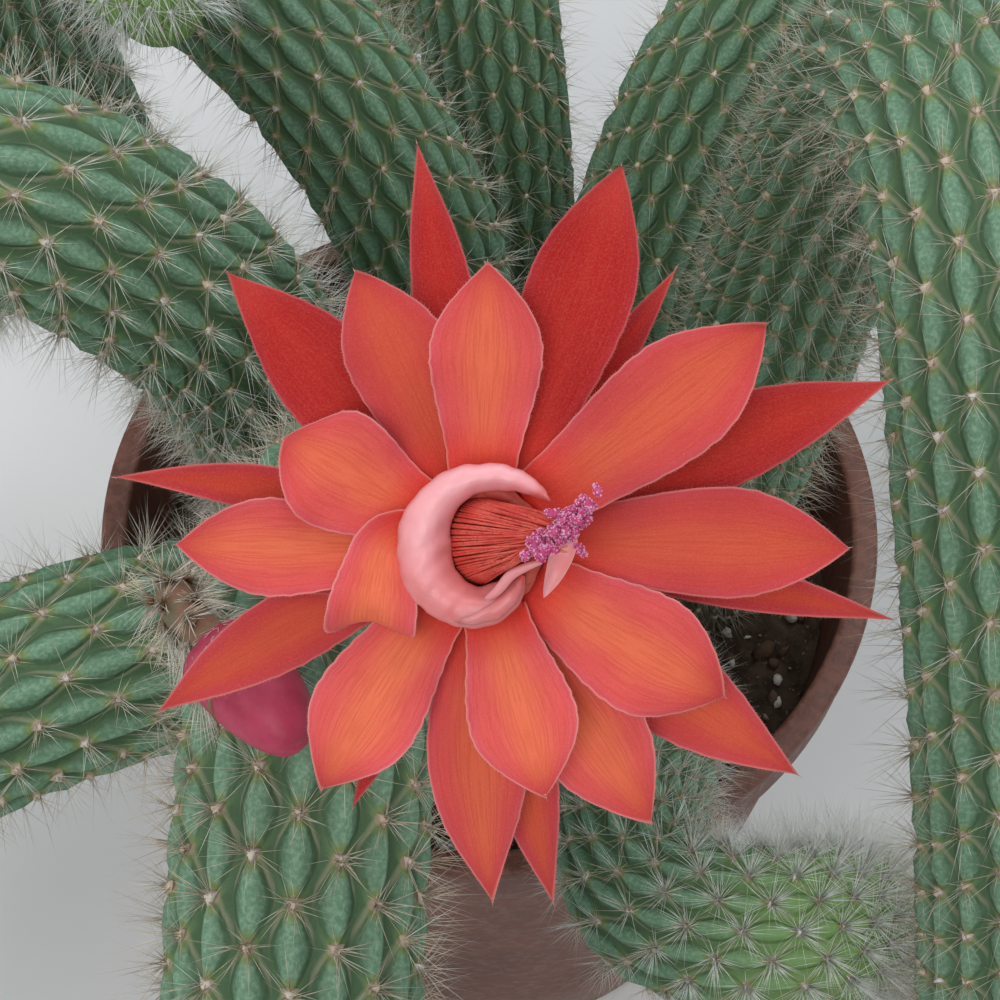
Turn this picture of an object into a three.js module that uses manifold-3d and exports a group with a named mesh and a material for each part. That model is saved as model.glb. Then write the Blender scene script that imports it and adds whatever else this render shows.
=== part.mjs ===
// A monkey tail cactus in flower, in a round plastic nursery pot.
// Millimetres, +Z up. The origin is the centre of the pot's underside. The plant's front is -Y.
import * as THREE from "three";
import { mergeVertices } from "three/addons/utils/BufferGeometryUtils.js";
import Module from "manifold-3d";

// ---- Driving dimensions ----
const POT = {
  height: 115,
  baseRadius: 46,
  rimRadius: 64, // outside of the collar
  collarHeight: 13,
  collarStep: 2.2, // how far the collar stands out from the wall
  wall: 2,
  floor: 2.6,
  drainHoles: 6,
  drainRadius: 4.5,
  drainCircle: 31,
};
const SOIL = { top: 97, crown: 2.5, clearance: 0.35, waist: 40 };
const STEM = { radius: 12.5, baseRadius: 9, swellLength: 70, sides: 10, spacing: 17, tipLength: 17 };
const FLOWER = {
  centre: [0, -112, 292],
  elevation: 58, // degrees above the horizon that the flower looks, towards -Y
  clawRadius: 5.75, // where the tepals leave the tube
  layerGap: 1.2,
  tepalThickness: 0.55,
};
const TUBE = { topRadius: 5.2, throatRadius: 3.9, throatDepth: 9, neckRadius: 3.7, baseRadius: 4.3 };
const COLLAR = { radius: 5.1, halfWidth: 1.35, halfHeight: 1.25, rise: 1.8 };
const GAP = 0.35; // between neighbours that touch

// Each stem: its centreline from inside the potting mix to its tip, and its thickness
// beside the full-grown radius. The points are chosen by hand.
const STEMS = [
  {
    name: "stem_flowering",
    girth: 1,
    path: [
      [0, -24, 80], [2, -26, 110], [2, -34, 160], [-5, -54, 212], [-15, -84, 240],
      [-18, -114, 236], [-19, -140, 212], [-20, -158, 172], [-21, -166, 125], [-22, -170, 85],
      [-23, -175, 54],
    ],
  },
  {
    name: "stem_high_left",
    girth: 1,
    path: [
      [-30, -8, 80], [-30, -8, 110], [-28, -16, 150], [-30, -28, 195], [-38, -36, 228],
      [-56, -38, 246], [-78, -41, 238], [-95, -45, 208], [-104, -50, 160], [-108, -54, 110],
      [-111, -58, 62],
    ],
  },
  {
    name: "stem_low_left",
    girth: 0.98,
    path: [
      [-22, -28, 80], [-22, -30, 110], [-23, -44, 150], [-28, -62, 186], [-44, -76, 206],
      [-66, -86, 204], [-86, -96, 180], [-98, -104, 138], [-104, -110, 90], [-108, -116, 45],
      [-118, -130, 18], [-142, -150, 15], [-166, -165, 15],
    ],
  },
  {
    name: "stem_short_front",
    girth: 0.86,
    path: [
      [25, -22, 80], [26, -29, 108], [24, -48, 130], [20, -69, 143], [24, -85, 153],
      [38, -91, 160], [57, -89, 162],
    ],
  },
  {
    name: "stem_right",
    girth: 1,
    path: [
      [32, -4, 80], [34, -5, 110], [40, -4, 160], [46, -7, 212], [50, -20, 244],
      [53, -44, 253], [56, -74, 238], [61, -98, 205], [66, -112, 160], [70, -120, 110],
      [74, -126, 58], [82, -136, 22], [100, -151, 15], [124, -164, 15],
    ],
  },
  {
    name: "stem_back_left",
    girth: 0.95,
    path: [
      [-12, 14, 80], [-11, 15, 110], [-8, 14, 145], [-12, 16, 175], [-26, 26, 198],
      [-46, 40, 207], [-68, 54, 198], [-86, 66, 168], [-96, 74, 122], [-102, 80, 66],
    ],
  },
  {
    name: "stem_young",
    girth: 0.72,
    path: [
      [-34, 14, 80], [-35, 13, 110], [-44, 10, 150], [-56, 12, 195], [-60, 14, 228],
      [-55, 11, 248], [-45, 2, 254], [-37, -9, 243],
    ],
  },
  {
    name: "stem_back_right",
    girth: 0.98,
    path: [
      [22, 20, 80], [22, 22, 110], [26, 34, 148], [40, 48, 180], [62, 62, 193],
      [84, 76, 178], [98, 86, 138], [105, 92, 90], [110, 97, 45], [121, 107, 18],
      [142, 122, 15], [164, 136, 15],
    ],
  },
  {
    name: "stem_back",
    girth: 0.9,
    path: [
      [4, 34, 80], [4, 36, 110], [2, 50, 150], [-2, 70, 180], [-6, 94, 188],
      [-10, 116, 170], [-12, 130, 128], [-14, 138, 80],
    ],
  },
];

// Each tepal: its direction round the flower in degrees from the flower's right, how far its tip
// reaches from the centre, its greatest width, and its layer, 0 at the front.
const TEPALS = [
  { turn: 207, reach: 13.5, width: 6.4, layer: 0 },
  { turn: 88, reach: 22.5, width: 8.9, layer: 1 },
  { turn: 149, reach: 17.6, width: 9.8, layer: 1 },
  { turn: 285, reach: 20.4, width: 8.3, layer: 1 },
  { turn: 329, reach: 22.8, width: 9.6, layer: 1 },
  { turn: 38, reach: 28.8, width: 9.0, layer: 1 },
  { turn: 238, reach: 22.9, width: 8.3, layer: 2 },
  { turn: 359, reach: 29.4, width: 8.5, layer: 2 },
  { turn: 115, reach: 24, width: 7.9, layer: 2 },
  { turn: 69, reach: 32, width: 8.3, layer: 2 },
  { turn: 302.5, reach: 26, width: 8.4, layer: 2 },
  { turn: 179, reach: 23.8, width: 7.9, layer: 2 },
  { turn: 193.5, reach: 15.8, width: 2.6, layer: 3 },
  { turn: 133, reach: 29.3, width: 8.3, layer: 3 },
  { turn: 273.5, reach: 28.5, width: 7.9, layer: 3 },
  { turn: 21, reach: 35.2, width: 7.1, layer: 3 },
  { turn: 324.5, reach: 31.4, width: 7.5, layer: 3 },
  { turn: 207, reach: 28.5, width: 6.2, layer: 4 },
  { turn: 98, reach: 32.3, width: 4.9, layer: 4 },
  { turn: 169, reach: 29.6, width: 3.6, layer: 4 },
  { turn: 282, reach: 29, width: 4.9, layer: 4 },
  { turn: 350.5, reach: 33.5, width: 3.8, layer: 4 },
  { turn: 55, reach: 27.2, width: 3.2, layer: 4 },
  { turn: 245, reach: 22.7, width: 3, layer: 4 },
  { turn: 318, reach: 22.6, width: 2.4, layer: 4 },
];

// ---- Materials ----
const paint = (color, roughness) => new THREE.MeshStandardMaterial({ color, roughness, metalness: 0 });
const COLOURS = {
  pot: paint(0x8a4a3a, 0.6),
  soil: paint(0x3b2c22, 1),
  stem: paint(0x47704a, 0.8),
  tube: paint(0xb0453c, 0.7),
  innerTepal: paint(0xe0653c, 0.6),
  outerTepal: paint(0xc83c34, 0.6),
  collar: paint(0xe8a8a4, 0.5),
  filament: paint(0xb8302c, 0.5),
  anther: paint(0x8a3f78, 0.8),
  bud: paint(0xb03a5a, 0.5),
};

// ---- Shared shapes ----
const V = (p) => new THREE.Vector3(...p);
const smooth = (x) => {
  const t = THREE.MathUtils.clamp(x, 0, 1);
  return t * t * (3 - 2 * t);
};

// Joins rings of equal vertex count into one closed skin, with a fan over each end.
function skin(rings) {
  const n = rings[0].length;
  const middle = (ring) => ring.reduce((sum, p) => sum.add(p), new THREE.Vector3()).divideScalar(n);
  const points = [...rings.flat(), middle(rings[0]), middle(rings.at(-1))];
  const first = rings.length * n;
  const last = first + 1;
  const faces = [];
  for (let i = 0; i < n; i++) {
    const j = (i + 1) % n;
    faces.push(first, j, i);
    for (let k = 0; k < rings.length - 1; k++) {
      const [a, b] = [k * n, (k + 1) * n];
      faces.push(a + i, a + j, b + j, a + i, b + j, b + i);
    }
    const end = (rings.length - 1) * n;
    faces.push(last, end + i, end + j);
  }
  const shape = new THREE.BufferGeometry().setFromPoints(points);
  shape.setIndex(faces);
  shape.computeVertexNormals();
  return shape;
}

// A round body along a curve. radiusAt gives its radius at a distance from the curve's start.
function rod(points, sides, stops, radiusAt) {
  const curve = new THREE.CatmullRomCurve3(points.map(V));
  const length = curve.getLength();
  let side = new THREE.Vector3(1, 0, 0);
  const rings = stops(length).map((distance) => {
    const centre = curve.getPointAt(distance / length);
    const along = curve.getTangentAt(distance / length);
    side = side.addScaledVector(along, -side.dot(along)).normalize();
    const up = new THREE.Vector3().crossVectors(along, side);
    const r = radiusAt(distance, length);
    return Array.from({ length: sides }, (_, i) => {
      const a = (i / sides) * 2 * Math.PI;
      return centre.clone().addScaledVector(side, r * Math.cos(a)).addScaledVector(up, r * Math.sin(a));
    });
  });
  return skin(rings);
}

const evenStops = (count) => (length) =>
  Array.from({ length: count + 1 }, (_, i) => (length * i) / count);

// ---- manifold-3d, for cutting one piece by its neighbours ----
const wasm = await Module();
wasm.setup();

function solid(shape) {
  const bare = shape.clone();
  bare.deleteAttribute("normal");
  bare.deleteAttribute("uv");
  const merged = mergeVertices(bare, 1e-4);
  return new wasm.Manifold(new wasm.Mesh({
    numProp: 3,
    vertProperties: merged.attributes.position.array,
    triVerts: new Uint32Array(merged.index.array),
  }));
}

function geometryOf(manifold) {
  const mesh = manifold.getMesh();
  const shape = new THREE.BufferGeometry();
  shape.setAttribute("position", new THREE.BufferAttribute(mesh.vertProperties, 3));
  shape.setIndex(new THREE.BufferAttribute(mesh.triVerts, 1));
  shape.computeVertexNormals();
  return shape;
}

// ---- Pot and potting mix ----
const wallRadius = (z) => {
  const top = POT.rimRadius - POT.collarStep;
  return POT.baseRadius + ((top - POT.baseRadius) * z) / POT.height;
};

function potShape() {
  const { height, wall, floor, collarHeight, rimRadius, collarStep } = POT;
  const collarFoot = height - collarHeight;
  const outline = [
    [0, 0],
    [wallRadius(0), 0],
    [wallRadius(collarFoot), collarFoot],
    [wallRadius(collarFoot) + collarStep + 0.6, collarFoot + 0.8],
    [rimRadius, height],
    [wallRadius(height) - wall, height],
    [wallRadius(floor) - wall, floor],
    [0, floor],
  ];
  const shell = new THREE.LatheGeometry(outline.map(([r, z]) => new THREE.Vector2(r, z)), 32);
  shell.rotateX(Math.PI / 2);
  let pot = solid(shell);
  for (let i = 0; i < POT.drainHoles; i++) {
    const hole = new THREE.CylinderGeometry(POT.drainRadius, POT.drainRadius, 4 * floor, 12);
    const a = (i / POT.drainHoles) * 2 * Math.PI;
    hole.rotateX(Math.PI / 2);
    hole.translate(POT.drainCircle * Math.cos(a), POT.drainCircle * Math.sin(a), 0);
    pot = pot.subtract(solid(hole));
  }
  return geometryOf(pot);
}

function soilShape() {
  const bottom = POT.floor + SOIL.clearance;
  const radius = (z) => wallRadius(z) - POT.wall - SOIL.clearance;
  const outline = [
    [0, bottom],
    [radius(bottom), bottom],
    [radius(SOIL.top), SOIL.top],
    [SOIL.waist, SOIL.top + SOIL.crown * 0.7],
    [0, SOIL.top + SOIL.crown],
  ];
  const shape = new THREE.LatheGeometry(outline.map(([r, z]) => new THREE.Vector2(r, z)), 32);
  shape.rotateX(Math.PI / 2);
  let soil = solid(shape);
  for (const stem of STEMS) soil = soil.subtract(solid(stemShape(stem, GAP)));
  return geometryOf(soil);
}

// ---- Stems ----
// A stem is thinner in the mix, swells to its full girth, and ends in a round tip.
function stemRadius(girth, grown) {
  return (distance, length) => {
    const swell = STEM.baseRadius + (STEM.radius - STEM.baseRadius) * smooth(distance / STEM.swellLength);
    const toTip = Math.min(1, (length - distance) / STEM.tipLength);
    return girth * swell * Math.sqrt(1 - (1 - toTip) ** 2) + grown;
  };
}

function stemStops(length) {
  const body = length - STEM.tipLength;
  const count = Math.round(body / STEM.spacing);
  const stops = Array.from({ length: count + 1 }, (_, i) => (body * i) / count);
  const tip = [0.35, 0.65, 0.86, 0.97].map((share) => body + STEM.tipLength * share);
  return [...stops, ...tip];
}

function stemShape({ path, girth }, grown = 0) {
  return rod(path, STEM.sides, stemStops, stemRadius(girth, grown));
}

// ---- Flower, in its own frame: +Z is where it looks, +X its right ----
// The face that the tepals follow: up from the claw, then bent back. Outer layers bend back more.
function tepalRise(radius, layer) {
  const out = radius - FLOWER.clawRadius;
  const depth = layer * FLOWER.layerGap;
  return -0.6 - depth + (0.2 - 0.055 * depth) * out - 0.0045 * out * out;
}

// Half the width at a share of the way from claw to tip: a claw, a belly and a pointed tip.
function tepalOutline(share) {
  const belly = 0.58;
  if (share < belly) return 0.38 + 0.62 * smooth(share / belly);
  return Math.cos((Math.PI / 2) * ((share - belly) / (1 - belly))) ** 0.85;
}

function tepalShape({ reach, width, layer }) {
  const across = [-1, -0.5, 0, 0.5, 1];
  const along = [0, 0.2, 0.42, 0.62, 0.8, 0.93, 0.99];
  const start = FLOWER.clawRadius + (layer === 0 ? 1 : 0);
  const rings = along.map((share) => {
    const radius = start + (reach - start) * share;
    const half = (width / 2) * tepalOutline(share);
    const z = tepalRise(radius, layer);
    const top = across.map((k) => new THREE.Vector3(radius, -k * half, z + 0.25 * k * k));
    const under = across.map((k) => new THREE.Vector3(
      radius, k * half, z + 0.25 * k * k - FLOWER.tepalThickness));
    return [...top, ...under];
  });
  return skin(rings);
}

// The tube's outside, over its lip and down into the throat, as one skin.
function tubeShape(route) {
  const curve = new THREE.CatmullRomCurve3(route.map(V));
  const length = curve.getLength();
  const sides = 12;
  let side = new THREE.Vector3(1, 0, 0);
  const ring = (distance, radius) => {
    const centre = curve.getPointAt(distance / length);
    const along = curve.getTangentAt(distance / length);
    side = side.clone().addScaledVector(along, -side.dot(along)).normalize();
    const up = new THREE.Vector3().crossVectors(along, side);
    return Array.from({ length: sides }, (_, i) => {
      const a = (i / sides) * 2 * Math.PI;
      return centre.clone().addScaledVector(side, radius * Math.cos(a)).addScaledVector(up, radius * Math.sin(a));
    });
  };
  const outside = [];
  const steps = 9;
  for (let i = 0; i <= steps; i++) {
    const share = i / steps;
    const foot = TUBE.baseRadius + (TUBE.neckRadius - TUBE.baseRadius) * smooth(share / 0.3);
    outside.push(ring(length * share, foot + (TUBE.topRadius - foot) * smooth((share - 0.45) / 0.5)));
  }
  const throat = [0, 0.5, 1].map((share) => ring(
    length - TUBE.throatDepth * share, TUBE.throatRadius - 0.8 * share));
  return skin([...outside, ...throat]);
}

function collarShape() {
  const turns = 12;
  const outline = Array.from({ length: turns + 1 }, (_, i) => {
    const a = (i / turns) * 2 * Math.PI;
    return new THREE.Vector2(
      COLLAR.radius + COLLAR.halfWidth * Math.cos(a), COLLAR.rise + COLLAR.halfHeight * Math.sin(a));
  });
  const ring = new THREE.LatheGeometry(outline, 24);
  ring.rotateX(Math.PI / 2);
  return ring;
}

const FILAMENT_ROUTE = [[-0.3, 0.3, -7.5], [0.6, 0.3, -2], [1.2, 0.4, 2], [2.7, 0.9, 4.8], [4.9, 1.3, 6.4]];
const filamentRadius = (distance, length) => 1.9 - 0.75 * smooth(distance / length);
const STYLE_ROUTE = [[0.1, -2.5, -7.5], [0.6, -2.45, -1.5], [1.4, -2.45, 2.2], [3.8, -2.1, 4.6], [6.2, -1.5, 6]];

function antherShape() {
  const cluster = new THREE.SphereGeometry(1, 12, 8);
  cluster.scale(3.7, 1.75, 1.9);
  cluster.rotateZ(THREE.MathUtils.degToRad(38));
  cluster.translate(7.2, 2.3, 8.6);
  return cluster;
}

// ---- Assembly ----
const cactus = new THREE.Group();
cactus.name = "potted_monkey_tail_cactus";

function piece(name, shape, material, parent = cactus) {
  const mesh = new THREE.Mesh(shape, material);
  mesh.name = name;
  parent.add(mesh);
  return mesh;
}

piece("pot", potShape(), COLOURS.pot);
piece("potting_mix", soilShape(), COLOURS.soil);
for (const stem of STEMS) piece(stem.name, stemShape(stem), COLOURS.stem);

const flower = new THREE.Group();
flower.position.set(...FLOWER.centre);
flower.rotation.x = THREE.MathUtils.degToRad(90 - FLOWER.elevation);
cactus.add(flower);

TEPALS.forEach((tepal, i) => {
  const number = String(i + 1).padStart(2, "0");
  const colour = tepal.layer < 3 ? COLOURS.innerTepal : COLOURS.outerTepal;
  const mesh = piece(`tepal_${number}`, tepalShape(tepal), colour, flower);
  mesh.rotation.z = THREE.MathUtils.degToRad(tepal.turn);
});
piece("collar", collarShape(), COLOURS.collar, flower);
piece("filaments", rod(FILAMENT_ROUTE, 10, evenStops(8), filamentRadius), COLOURS.filament, flower);
piece("style", rod(STYLE_ROUTE, 6, evenStops(8), () => 0.45), COLOURS.collar, flower);
piece("anthers", antherShape(), COLOURS.anther, flower);

// The tube leaves the top of its stem, and the bud the stem's left flank, behind the flower.
flower.updateMatrixWorld(true);
const inFlower = (p) => flower.worldToLocal(V(p)).toArray();
const TUBE_ROUTE = [
  inFlower([-14.5, -86, 253.8]), inFlower([-13.8, -86.6, 262]), [-7, 1.5, -24], [0, 0, -10], [0, 0, 0],
];
piece("flower_tube", tubeShape(TUBE_ROUTE), COLOURS.tube, flower);

const BUD_ROUTE = [[-29.5, -92, 250], [-30.5, -97, 256], [-26, -104, 262], [-20, -110, 264]];
const budRadius = (distance, length) => {
  const share = distance / length;
  const body = 2.5 + 2.0 * smooth((share - 0.15) / 0.6);
  const toTip = Math.min(1, (1.02 - share) / 0.2);
  return body * Math.sqrt(1 - (1 - toTip) ** 2);
};
piece("bud", rod(BUD_ROUTE, 10, evenStops(12), budRadius), COLOURS.bud);

export default cactus;
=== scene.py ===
import math

import bpy
import numpy as np
from mathutils import Matrix, Vector


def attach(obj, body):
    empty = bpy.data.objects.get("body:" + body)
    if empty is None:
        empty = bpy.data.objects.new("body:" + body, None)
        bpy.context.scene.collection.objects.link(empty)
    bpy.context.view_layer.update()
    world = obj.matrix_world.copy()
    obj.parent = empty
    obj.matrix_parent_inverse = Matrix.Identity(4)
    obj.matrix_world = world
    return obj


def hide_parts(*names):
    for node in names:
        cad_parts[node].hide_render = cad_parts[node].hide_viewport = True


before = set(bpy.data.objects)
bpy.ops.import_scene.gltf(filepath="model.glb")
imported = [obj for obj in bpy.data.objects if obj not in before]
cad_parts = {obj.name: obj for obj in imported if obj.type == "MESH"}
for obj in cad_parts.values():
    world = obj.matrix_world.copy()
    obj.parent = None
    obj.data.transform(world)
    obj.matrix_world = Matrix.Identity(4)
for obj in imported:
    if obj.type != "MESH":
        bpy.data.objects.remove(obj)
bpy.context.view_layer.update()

# A monkey tail cactus in flower. Lengths in the tables are millimetres, in the frame of the
# imported model, whose dimensions and points they repeat. Meshes are built in metres.
MM = 0.001
CHANCE = np.random.default_rng(11)
TURN = 2 * math.pi

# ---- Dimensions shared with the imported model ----
POT_HEIGHT, POT_BASE, POT_RIM = 115, 46, 64
COLLAR_HEIGHT, COLLAR_STEP, POT_WALL, POT_FLOOR = 13, 2.2, 2, 2.6
DRAIN_HOLES, DRAIN_RADIUS, DRAIN_CIRCLE = 6, 4.5, 31
SOIL_TOP, SOIL_CROWN = 97, 2.5
STEM_RADIUS, STEM_BASE_RADIUS, STEM_SWELL, STEM_TIP = 12.5, 9, 70, 17
FLOWER_CENTRE, FLOWER_ELEVATION = (0, -112, 292), 58
CLAW_RADIUS, LAYER_GAP = 5.75, 1.2

# Each stem: name, girth beside the full-grown radius, hairs on one wool pad, how pale they are
# from 0 to 1, centreline.
STEMS = [
    ("stem_flowering", 1.0, 27, 0.44, [
        (0, -24, 80), (2, -26, 110), (2, -34, 160), (-5, -54, 212), (-15, -84, 240),
        (-18, -114, 236), (-19, -140, 212), (-20, -158, 172), (-21, -166, 125), (-22, -170, 85),
        (-23, -175, 54)]),
    ("stem_high_left", 1.0, 22, 0.68, [
        (-30, -8, 80), (-30, -8, 110), (-28, -16, 150), (-30, -28, 195), (-38, -36, 228),
        (-56, -38, 246), (-78, -41, 238), (-95, -45, 208), (-104, -50, 160), (-108, -54, 110),
        (-111, -58, 62)]),
    ("stem_low_left", 0.98, 18, 0.56, [
        (-22, -28, 80), (-22, -30, 110), (-23, -44, 150), (-28, -62, 186), (-44, -76, 206),
        (-66, -86, 204), (-86, -96, 180), (-98, -104, 138), (-104, -110, 90), (-108, -116, 45),
        (-118, -130, 18), (-142, -150, 15), (-166, -165, 15)]),
    ("stem_short_front", 0.86, 28, 0.66, [
        (25, -22, 80), (26, -29, 108), (24, -48, 130), (20, -69, 143), (24, -85, 153),
        (38, -91, 160), (57, -89, 162)]),
    ("stem_right", 1.0, 15, 0.48, [
        (32, -4, 80), (34, -5, 110), (40, -4, 160), (46, -7, 212), (50, -20, 244),
        (53, -44, 253), (56, -74, 238), (61, -98, 205), (66, -112, 160), (70, -120, 110),
        (74, -126, 58), (82, -136, 22), (100, -151, 15), (124, -164, 15)]),
    ("stem_back_left", 0.95, 11, 0.52, [
        (-12, 14, 80), (-11, 15, 110), (-8, 14, 145), (-12, 16, 175), (-26, 26, 198),
        (-46, 40, 207), (-68, 54, 198), (-86, 66, 168), (-96, 74, 122), (-102, 80, 66)]),
    ("stem_young", 0.72, 16, 0.60, [
        (-34, 14, 80), (-35, 13, 110), (-44, 10, 150), (-56, 12, 195), (-60, 14, 228),
        (-55, 11, 248), (-45, 1, 254), (-36, -13, 242)]),
    ("stem_back_right", 0.98, 10, 0.50, [
        (22, 20, 80), (22, 22, 110), (26, 34, 148), (40, 48, 180), (62, 62, 193),
        (84, 76, 178), (98, 86, 138), (105, 92, 90), (110, 97, 45), (121, 107, 18),
        (142, 122, 15), (164, 136, 15)]),
    ("stem_back", 0.9, 10, 0.50, [
        (4, 34, 80), (4, 36, 110), (2, 50, 150), (-2, 70, 180), (-6, 94, 188),
        (-10, 116, 170), (-12, 130, 128), (-14, 138, 80)]),
]
RIBS, PAD_GAP = 18, 6.8
# The gap between the rings of a stem's skin; the stem nearest the camera has finer ones.
RING_GAP, NEAR_RING_GAP, NEAR_STEM = 2.8, 1.8, "stem_flowering"
# Extra hairs on one young pad near the tip, where they are not the usual number.
YOUNG_HAIRS, SPECIAL_YOUNG_HAIRS = 11, {"stem_short_front": 36, "stem_young": 5}

# Each tepal: direction in degrees from the flower's right, reach, width, layer (0 in front),
# degrees that it sweeps sideways, degrees that its end curls back, and redness from 0 to 1.
# Redness is partly the tepal's own red and partly painted shade: it darkens the upper tepals,
# which tilt away from the light.
TEPALS = [
    (172, 16.6, 7.2, 0, 89, 125, 0.0), (87.3, 22.5, 9.0, 1, 2, 3, 0.25),
    (151.9, 18.2, 9.8, 1, -4, 34, 0.25), (284.1, 20.5, 8.7, 1, 3, 3, 0.05),
    (326.3, 23.3, 9.8, 1, 6, 18, 0.2), (36.1, 29.2, 9.4, 1, 4, 13, 0.45),
    (234.5, 23.6, 9.0, 2, 8, 13, 0.0), (1.9, 30.1, 8.9, 2, -6, 8, 0.55),
    (111.8, 24.5, 8.4, 2, 7, 10, 0.6), (67.1, 33.0, 8.7, 2, 6, 8, 1.0),
    (299.9, 26.5, 8.8, 2, 6, 8, 0.1), (180.7, 24.4, 7.9, 2, -3, 8, 0.2),
    (192.6, 17.0, 2.6, 3, 2, 34, 0.8), (131.1, 30.7, 8.5, 3, 4, 8, 1.0),
    (268.4, 29.7, 8.2, 3, 10, 8, 0.3), (23.3, 37.4, 7.3, 3, -4, 13, 0.95),
    (323.0, 32.9, 7.9, 3, 3, 8, 0.5), (202.0, 30.5, 6.2, 4, 15, 8, 0.6),
    (97.7, 34.5, 5.2, 4, 3, 8, 1.0), (162.6, 30.3, 3.9, 4, 18, -16, 0.8),
    (280.9, 31.0, 5.6, 4, 2, 8, 0.5), (352.3, 35.9, 4.0, 4, -7, 10, 0.75),
    (53.4, 28.6, 3.4, 4, 3, 8, 1.0), (243.6, 24.2, 3.3, 4, 2, 8, 1.0),
    (317.5, 23.8, 2.9, 4, 2, 8, 1.0),
]

# The flower's own frame: +Z where it looks, +X its right, +Y its top.
FLOWER_TO_WORLD = (
    Matrix.Translation(Vector(FLOWER_CENTRE) * MM)
    @ Matrix.Rotation(math.radians(90 - FLOWER_ELEVATION), 4, "X")
    @ Matrix.Scale(MM, 4)
)


# ---- Numbers ----
def smooth(x):
    t = np.clip(x, 0, 1)
    return t * t * (3 - 2 * t)


def unit(v):
    return v / np.maximum(np.linalg.norm(v, axis=-1, keepdims=True), 1e-12)


def moved(points, matrix):
    m = np.array(matrix)
    return points @ m[:3, :3].T + m[:3, 3]


def to_flower(points):
    """Points of the model's frame, in millimetres, in the flower's own frame."""
    return moved(np.array(points, float) * MM, FLOWER_TO_WORLD.inverted())


class Path:
    """A centripetal Catmull-Rom curve with a frame carried along it without twist."""

    def __init__(self, points, per_span=40):
        p = np.array(points, float)
        p = np.vstack([2 * p[0] - p[1], p, 2 * p[-1] - p[-2]])
        u = np.linspace(0, 1, per_span, endpoint=False)[:, None]
        parts = []
        for a, b, c, d in zip(p[:-3], p[1:-2], p[2:-1], p[3:]):
            k0, k1, k2 = (np.linalg.norm(q) ** 0.5 for q in (b - a, c - b, d - c))
            m1 = ((b - a) / k0 - (c - a) / (k0 + k1) + (c - b) / k1) * k1
            m2 = ((c - b) / k1 - (d - b) / (k1 + k2) + (d - c) / k2) * k1
            parts.append(b + m1 * u + (3 * (c - b) - 2 * m1 - m2) * u**2
                         + (2 * (b - c) + m1 + m2) * u**3)
        self.points = np.vstack([*parts, p[-2][None]])
        steps = np.linalg.norm(np.diff(self.points, axis=0), axis=1)
        self.distance = np.concatenate([[0], np.cumsum(steps)])
        self.length = self.distance[-1]
        self.along = unit(np.gradient(self.points, self.distance, axis=0))
        side = np.array([1.0, 0, 0])
        sides = []
        for t in self.along:
            side = unit(side - side @ t * t)
            sides.append(side)
        self.side = np.array(sides)

    def at(self, distance):
        """Places, directions, sides and ups at distances from the start."""
        def pick(values):
            return np.stack([np.interp(distance, self.distance, values[:, i]) for i in range(3)], -1)

        along, side = unit(pick(self.along)), pick(self.side)
        side = unit(side - np.sum(side * along, -1, keepdims=True) * along)
        return pick(self.points), along, side, np.cross(along, side)


# ---- Meshes ----
def make_piece(name, points, triangles, material, replaces=(), values=None, uv=None):
    """A mesh piece that rides on the root body. values are float attributes on its points."""
    mesh = bpy.data.meshes.new(name)
    triangles = np.ascontiguousarray(triangles, np.int32)
    mesh.vertices.add(len(points))
    mesh.vertices.foreach_set("co", np.ascontiguousarray(points, np.float32).ravel())
    mesh.loops.add(triangles.size)
    mesh.loops.foreach_set("vertex_index", triangles.ravel())
    mesh.polygons.add(len(triangles))
    mesh.polygons.foreach_set("loop_start", np.arange(len(triangles), dtype=np.int32) * 3)
    mesh.polygons.foreach_set("use_smooth", np.ones(len(triangles), bool))
    mesh.update(calc_edges=True)
    for key, numbers in (values or {}).items():
        layer = mesh.attributes.new(key, "FLOAT", "POINT")
        layer.data.foreach_set("value", np.ascontiguousarray(numbers, np.float32))
    if uv is not None:
        layer = mesh.uv_layers.new(name="UVMap")
        layer.data.foreach_set("uv", np.ascontiguousarray(uv, np.float32).ravel())
    mesh.materials.append(material)
    piece = bpy.data.objects.new(name, mesh)
    bpy.context.scene.collection.objects.link(piece)
    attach(piece, "root")
    if replaces:
        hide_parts(*replaces)
    return piece


def skin_faces(rings, sides):
    """Triangles over rings of points, with a fan over each end to two more points."""
    k, i = np.meshgrid(np.arange(rings - 1), np.arange(sides), indexing="ij")
    j = (i + 1) % sides
    a, b, c, d = k * sides + i, k * sides + j, (k + 1) * sides + j, (k + 1) * sides + i
    body = np.concatenate([np.stack([a, b, c], -1).reshape(-1, 3),
                           np.stack([a, c, d], -1).reshape(-1, 3)])
    n = np.arange(sides)
    first, last, end = rings * sides, rings * sides + 1, (rings - 1) * sides
    foot = np.stack([np.full(sides, first), (n + 1) % sides, n], -1)
    head = np.stack([np.full(sides, last), end + n, end + (n + 1) % sides], -1)
    return np.concatenate([body, foot, head])


def skin(grid):
    """One closed skin over a grid of points: rings, sides, 3."""
    rings, sides = grid.shape[:2]
    ends = np.stack([grid[0].mean(0), grid[-1].mean(0)])
    return np.concatenate([grid.reshape(-1, 3), ends]), skin_faces(rings, sides)


def round_about(side, up, angle):
    """Directions at every angle round each of several lines, from their sides and ups."""
    return side[:, None] * np.cos(angle)[None, :, None] + up[:, None] * np.sin(angle)[None, :, None]


def ring_grid(path, distances, radii, sides):
    """Round rings along a path."""
    place, _, side, up = path.at(distances)
    angle = np.arange(sides) / sides * TURN
    radii = np.asarray(radii, float)
    radii = radii if radii.ndim == 2 else radii[:, None]
    return place[:, None] + round_about(side, up, angle) * radii[..., None]


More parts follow.
